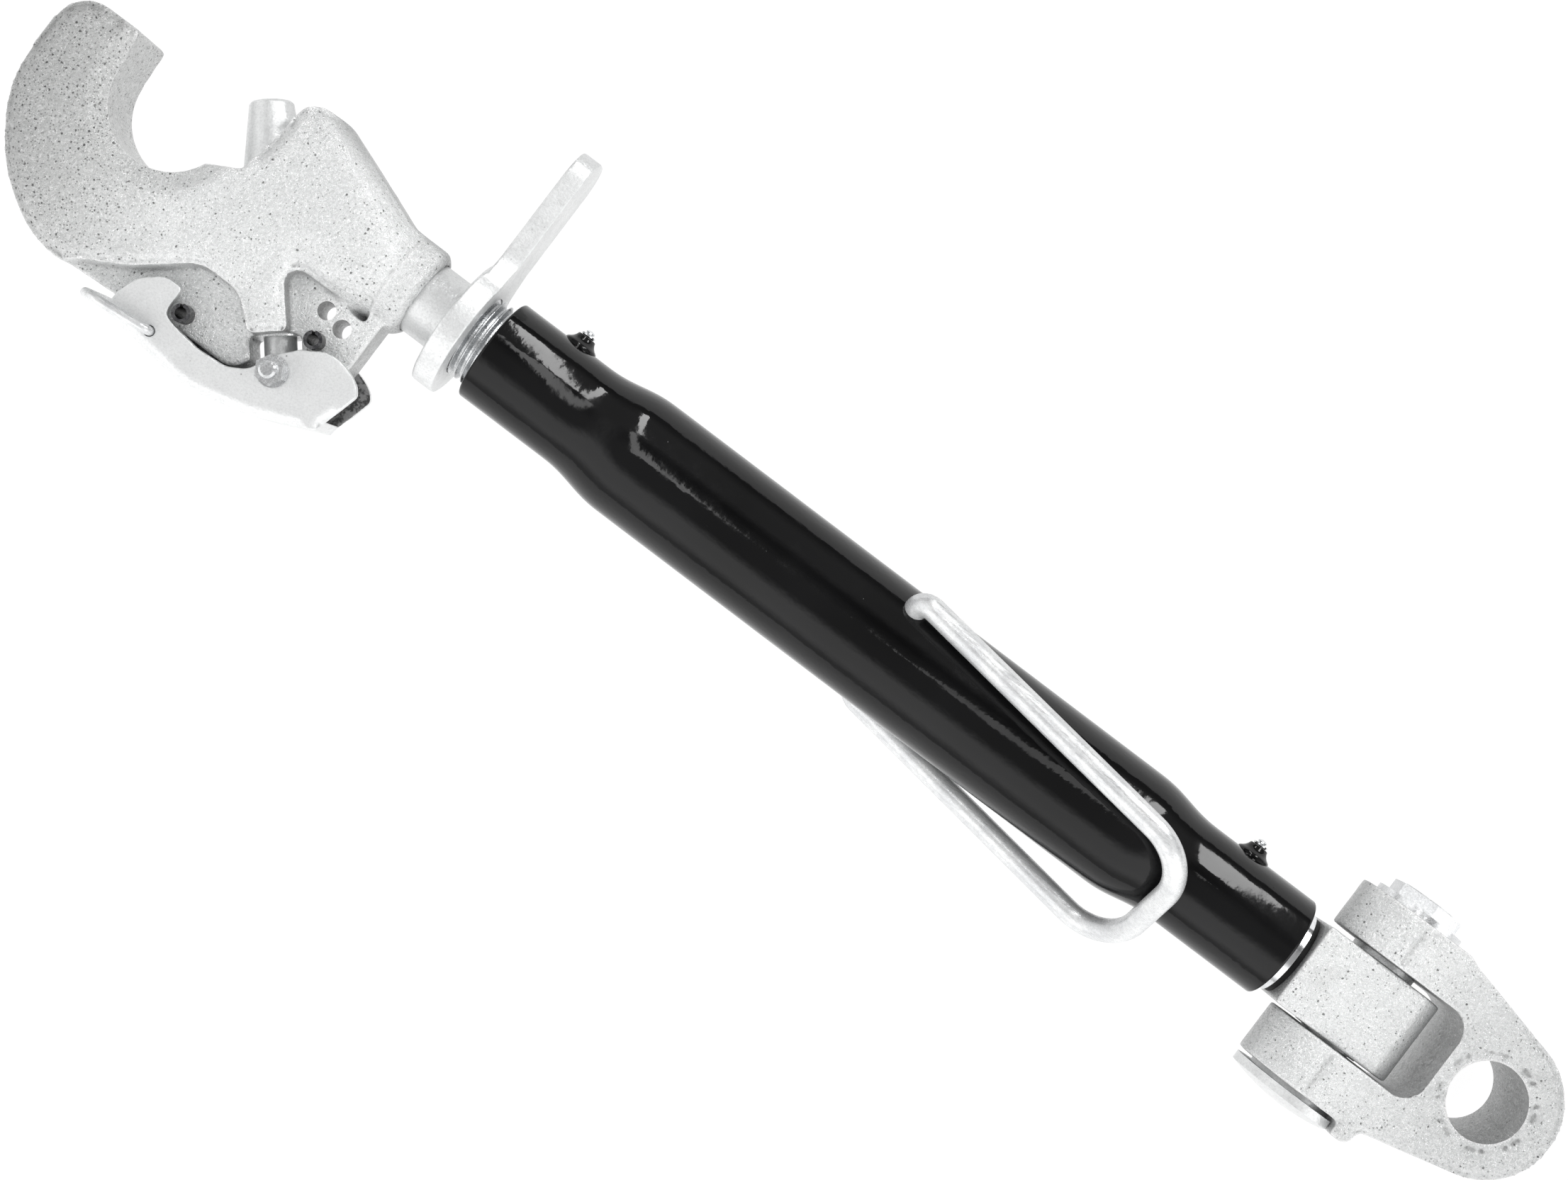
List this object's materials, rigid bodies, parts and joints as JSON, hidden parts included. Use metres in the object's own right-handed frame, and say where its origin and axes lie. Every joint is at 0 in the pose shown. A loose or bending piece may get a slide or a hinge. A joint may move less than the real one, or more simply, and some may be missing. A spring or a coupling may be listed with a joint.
{
  "type": "tractor top link",
  "caption": "Turnbuckle top link for a three-point linkage, with a latched catch hook, a lock nut with an arm, a wire bail and a knuckle fork eye.",
  "frame": {"origin": "centre of the eye's bore, on the link's axis", "axes": "+X along the link and out past the eye, with the hook towards -X; +Y the way the hook's mouth opens; +Z along the eye's bore"},
  "size_m": [0.7258, 0.1678, 0.0745],
  "materials": {
    "forged_zinc": "zinc-plated rough forging with fine dark pits",
    "zinc_plate": "bright zinc plate",
    "machined_steel": "machined and plated",
    "gloss_black_paint": "gloss black paint",
    "polished_steel": "polished",
    "black_rubber": "matt rubber",
    "galvanised_wire": "drawn and zinc-plated wire",
    "dark_steel": "oiled spring steel"
  },
  "bodies": {
    "tube": {"tube": "gloss_black_paint", "nipple_bosses": "gloss_black_paint", "grease_nipples": "polished_steel"},
    "bail": {"bail_handle": "galvanised_wire"},
    "hook_wiper": {"hook_wiper_ring": "black_rubber"},
    "hook": {"hook_forging": "forged_zinc", "hook_screw": "zinc_plate", "guide_bush": "machined_steel", "fulcrum_roll_pin": "dark_steel", "catch_roll_pin": "dark_steel", "plunger_spring": "dark_steel"},
    "lock_nut": {"lock_nut": "zinc_plate"},
    "plunger": {"locking_plunger": "machined_steel", "lever_stud": "machined_steel", "stud_nuts": "machined_steel"},
    "lever": {"latch_lever": "zinc_plate"},
    "pull_ring": {"pull_ring": "galvanised_wire"},
    "eye_wiper": {"eye_wiper_ring": "black_rubber"},
    "knuckle": {"eye_screw": "polished_steel", "knuckle_block": "forged_zinc", "seal_ring": "black_rubber", "knuckle_bush": "machined_steel"},
    "fork": {"fork_eye": "forged_zinc", "knuckle_pin": "zinc_plate", "pin_washer": "zinc_plate", "pin_nut": "machined_steel", "thrust_washer": "machined_steel"}
  },
  "joints": [
    {"name": "hook_turn", "type": "hinge", "parent": "tube", "child": "hook_wiper", "pos_m": [-0.4845, 0, 0], "axis": [-1, 0, 0], "range_deg": [0, 12960]},
    {"name": "hook_out", "type": "slide", "parent": "hook_wiper", "child": "hook", "axis": [-1, 0, 0], "range_m": [0, 0.108]},
    {"name": "eye_turn", "type": "hinge", "parent": "tube", "child": "eye_wiper", "pos_m": [-0.0935, 0, 0], "axis": [-1, 0, 0], "range_deg": [0, 12960]},
    {"name": "eye_out", "type": "slide", "parent": "eye_wiper", "child": "knuckle", "axis": [1, 0, 0], "range_m": [0, 0.108]},
    {"name": "knuckle_tilt", "type": "hinge", "parent": "knuckle", "child": "fork", "pos_m": [-0.058, 0, 0], "axis": [0, 1, 0], "range_deg": [-90, 90]},
    {"name": "lock_nut_turn", "type": "hinge", "parent": "hook", "child": "lock_nut", "pos_m": [-0.4982, 0, 0], "axis": [1, 0, 0], "range_deg": [-360, 360]},
    {"name": "bail_swing", "type": "hinge", "parent": "tube", "child": "bail", "pos_m": [-0.29, 0, 0], "axis": [0, -0.7193, -0.6947], "range_deg": [0, 156]},
    {"name": "lever_turn", "type": "hinge", "parent": "plunger", "child": "lever", "pos_m": [-0.5445, -0.0584, 0], "axis": [0, 0, 1], "range_deg": [0, 72]},
    {"name": "plunger_slide", "type": "slide", "parent": "hook", "child": "plunger", "axis": [0.6334, -0.7738, 0], "range_m": [0, 0.021], "deforming": ["plunger_spring"]},
    {"name": "ring_swing", "type": "hinge", "parent": "lever", "child": "pull_ring", "pos_m": [-0.5924, -0.0748, 0], "axis": [0, 0, 1], "range_deg": [0, 140]}
  ],
  "couplings": [
    {"joint": "hook_out", "follows": "hook_turn", "m_per_rad": 0.00047746},
    {"joint": "eye_turn", "follows": "hook_turn", "ratio": 1},
    {"joint": "eye_out", "follows": "hook_turn", "m_per_rad": 0.00047746},
    {"joint": "plunger_slide", "follows": "lever_turn", "m_per_rad": 0.0167}
  ]
}
